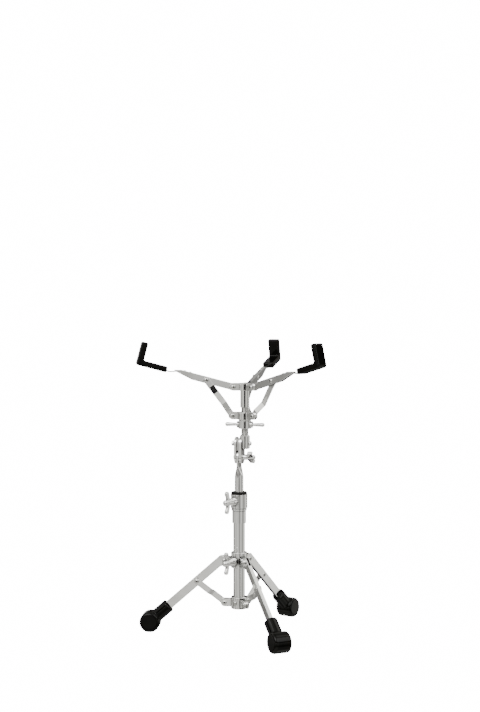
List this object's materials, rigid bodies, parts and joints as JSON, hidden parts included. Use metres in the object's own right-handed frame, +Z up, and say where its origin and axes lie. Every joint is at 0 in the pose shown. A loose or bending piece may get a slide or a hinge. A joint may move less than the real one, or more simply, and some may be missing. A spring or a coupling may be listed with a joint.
{
  "type": "snare drum stand",
  "caption": "Folding tripod stand with a telescoping column, a tilter and a screw-tightened basket of padded arms that grips a snare drum.",
  "frame": {"origin": "on the floor under the column axis", "axes": "+Z up along the column, -Y toward the viewer in the picture, +X to the viewer's right"},
  "size_m": [0.3942, 0.4221, 0.6287],
  "materials": {
    "chrome_tube": "polished chrome",
    "chrome_strip": "polished chrome over pressed steel",
    "chrome_casting": "polished chrome over casting",
    "plated_hardware": "bright plated steel",
    "black_rubber": "satin moulded rubber",
    "black_nylon": "moulded nylon"
  },
  "bodies": {
    "base": {"lower_tube": "chrome_tube", "bottom_collar": "chrome_casting", "bottom_collar_screw": "plated_hardware", "brace_pins": "plated_hardware", "clamp_housing": "chrome_casting"},
    "leg_collar": {"leg_collar": "chrome_casting", "leg_pins": "plated_hardware"},
    "leg_wing_screw": {"leg_wing_screw": "chrome_casting"},
    "clamp_wing_screw": {"clamp_wing_screw": "chrome_casting"},
    "clamp_bushing": {"clamp_bushing": "black_nylon"},
    "column": {"upper_tube": "chrome_tube", "tube_guide": "black_nylon"},
    "basket": {"tilter_casting": "chrome_casting", "tilter_cheek": "chrome_casting", "friction_washers": "black_nylon", "tilt_bolt": "chrome_casting", "tilt_spacer": "plated_hardware", "cross_bolt": "chrome_casting", "cross_nut": "chrome_casting", "basket_rod": "plated_hardware", "hub_sleeve": "chrome_tube", "basket_hub": "chrome_casting", "hub_pins": "plated_hardware"},
    "tilt_wing_nut": {"tilt_wing_nut": "chrome_casting"},
    "basket_collar": {"basket_collar": "chrome_casting", "collar_pins": "plated_hardware", "thrust_washer": "plated_hardware"},
    "t_nut": {"t_nut": "chrome_casting", "nut_bars": "chrome_casting"},
    "leg_1": {"leg_1": "chrome_strip", "foot_1": "black_rubber", "brace_rivet_1": "plated_hardware"},
    "brace_1": {"brace_1": "chrome_strip"},
    "arm_1": {"arm_1": "chrome_strip", "arm_rivets_1": "plated_hardware", "pad_strip_1": "chrome_strip", "pad_1": "black_rubber"},
    "strut_1": {"strut_1": "chrome_strip"},
    "leg_2": {"leg_2": "chrome_strip", "foot_2": "black_rubber", "brace_rivet_2": "plated_hardware"},
    "brace_2": {"brace_2": "chrome_strip"},
    "arm_2": {"arm_2": "chrome_strip", "arm_rivets_2": "plated_hardware", "pad_strip_2": "chrome_strip", "pad_2": "black_rubber"},
    "strut_2": {"strut_2": "chrome_strip"},
    "leg_3": {"leg_3": "chrome_strip", "foot_3": "black_rubber", "brace_rivet_3": "plated_hardware"},
    "brace_3": {"brace_3": "chrome_strip"},
    "arm_3": {"arm_3": "chrome_strip", "arm_rivets_3": "plated_hardware", "pad_strip_3": "chrome_strip", "pad_3": "black_rubber"},
    "strut_3": {"strut_3": "chrome_strip"}
  },
  "joints": [
    {"name": "leg_fold", "type": "hinge", "parent": "base", "child": "brace_1", "pos_m": [-0.03088, 0.0027, 0.06553], "axis": [0.0872, 0.9962, 0], "range_deg": [-8, 37]},
    {"name": "leg_1_knee", "type": "hinge", "parent": "brace_1", "child": "leg_1", "pos_m": [-0.09063, 0.00793, 0.11089], "axis": [-0.0872, -0.9962, 0], "range_deg": [-16, 74]},
    {"name": "leg_1_hinge", "type": "hinge", "parent": "leg_1", "child": "leg_collar", "pos_m": [-0.03088, 0.0027, 0.15626], "axis": [0.0872, 0.9962, 0], "range_deg": [-8, 37]},
    {"name": "leg_2_hinge", "type": "hinge", "parent": "leg_collar", "child": "leg_2", "pos_m": [0.0131, -0.0281, 0.15626], "axis": [0.9063, 0.4226, 0], "range_deg": [-8, 37]},
    {"name": "brace_2_hinge", "type": "hinge", "parent": "base", "child": "brace_2", "pos_m": [0.0131, -0.0281, 0.06553], "axis": [-0.9063, -0.4226, 0], "range_deg": [-8, 37]},
    {"name": "leg_3_hinge", "type": "hinge", "parent": "leg_collar", "child": "leg_3", "pos_m": [0.01778, 0.02539, 0.15626], "axis": [-0.8192, 0.5736, 0], "range_deg": [-8, 37]},
    {"name": "brace_3_hinge", "type": "hinge", "parent": "base", "child": "brace_3", "pos_m": [0.01778, 0.02539, 0.06553], "axis": [0.8192, -0.5736, 0], "range_deg": [-8, 37]},
    {"name": "leg_screw_turn", "type": "hinge", "parent": "leg_collar", "child": "leg_wing_screw", "pos_m": [0, 0, 0.15626], "axis": [-0.5736, -0.8192, 0], "range_deg": [-360, 90]},
    {"name": "clamp_screw_turn", "type": "hinge", "parent": "base", "child": "clamp_wing_screw", "pos_m": [0, 0, 0.28593], "axis": [-0.5736, -0.8192, 0], "range_deg": [-360, 90]},
    {"name": "column_swivel", "type": "hinge", "parent": "base", "child": "clamp_bushing", "pos_m": [0, 0, 0.29993], "axis": [0, 0, 1], "continuous": true},
    {"name": "column_height", "type": "slide", "parent": "clamp_bushing", "child": "column", "axis": [0, 0, 1], "range_m": [-0.025, 0.11]},
    {"name": "basket_tilt", "type": "hinge", "parent": "column", "child": "basket", "pos_m": [0, 0, 0.38003], "axis": [0.9563, -0.2924, 0], "range_deg": [-75, 75]},
    {"name": "tilt_nut_turn", "type": "hinge", "parent": "basket", "child": "tilt_wing_nut", "pos_m": [0, 0, 0.38003], "axis": [0.9563, -0.2924, 0], "range_deg": [-360, 90]},
    {"name": "collar_lift", "type": "slide", "parent": "basket", "child": "basket_collar", "axis": [0, 0, 1], "range_m": [-0.00128, 0.01775]},
    {"name": "grip_nut_turn", "type": "hinge", "parent": "basket_collar", "child": "t_nut", "pos_m": [0.01234, -0.00377, 0.45028], "axis": [0, 0, 1], "range_deg": [-182.46, 2554.49]},
    {"name": "arm_1_hinge", "type": "hinge", "parent": "basket", "child": "arm_1", "pos_m": [-0.01358, -0.00928, 0.53163], "axis": [-0.2079, 0.9781, 0], "range_deg": [-2.01, 28.01]},
    {"name": "strut_1_hinge", "type": "hinge", "parent": "basket_collar", "child": "strut_1", "pos_m": [-0.01427, -0.00943, 0.46993], "axis": [-0.2079, 0.9781, 0], "range_deg": [-0.67, 9.31]},
    {"name": "arm_2_hinge", "type": "hinge", "parent": "basket", "child": "arm_2", "pos_m": [0.03007, -0.02346, 0.53163], "axis": [-0.7431, -0.6691, 0], "range_deg": [-2.01, 28.01]},
    {"name": "strut_2_hinge", "type": "hinge", "parent": "basket_collar", "child": "strut_2", "pos_m": [0.03054, -0.02398, 0.46993], "axis": [-0.7431, -0.6691, 0], "range_deg": [-0.67, 9.31]},
    {"name": "arm_3_hinge", "type": "hinge", "parent": "basket", "child": "arm_3", "pos_m": [0.02053, 0.02143, 0.53163], "axis": [0.9511, -0.309, 0], "range_deg": [-2.01, 28.01]},
    {"name": "strut_3_hinge", "type": "hinge", "parent": "basket_collar", "child": "strut_3", "pos_m": [0.02074, 0.0221, 0.46993], "axis": [0.9511, -0.309, 0], "range_deg": [-0.67, 9.31]}
  ],
  "couplings": [
    {"joint": "leg_1_knee", "follows": "leg_fold", "ratio": 2},
    {"joint": "leg_1_hinge", "follows": "leg_fold", "ratio": 1},
    {"joint": "leg_2_hinge", "follows": "leg_fold", "ratio": 1},
    {"joint": "brace_2_hinge", "follows": "leg_fold", "ratio": 1},
    {"joint": "leg_3_hinge", "follows": "leg_fold", "ratio": 1},
    {"joint": "brace_3_hinge", "follows": "leg_fold", "ratio": 1},
    {"joint": "collar_lift", "follows": "grip_nut_turn", "m_per_rad": 0.00039789},
    {"joint": "arm_1_hinge", "follows": "grip_nut_turn", "ratio": 0.010961},
    {"joint": "strut_1_hinge", "follows": "grip_nut_turn", "ratio": 0.0036391},
    {"joint": "arm_2_hinge", "follows": "grip_nut_turn", "ratio": 0.010961},
    {"joint": "strut_2_hinge", "follows": "grip_nut_turn", "ratio": 0.0036391},
    {"joint": "arm_3_hinge", "follows": "grip_nut_turn", "ratio": 0.010961},
    {"joint": "strut_3_hinge", "follows": "grip_nut_turn", "ratio": 0.0036391}
  ]
}
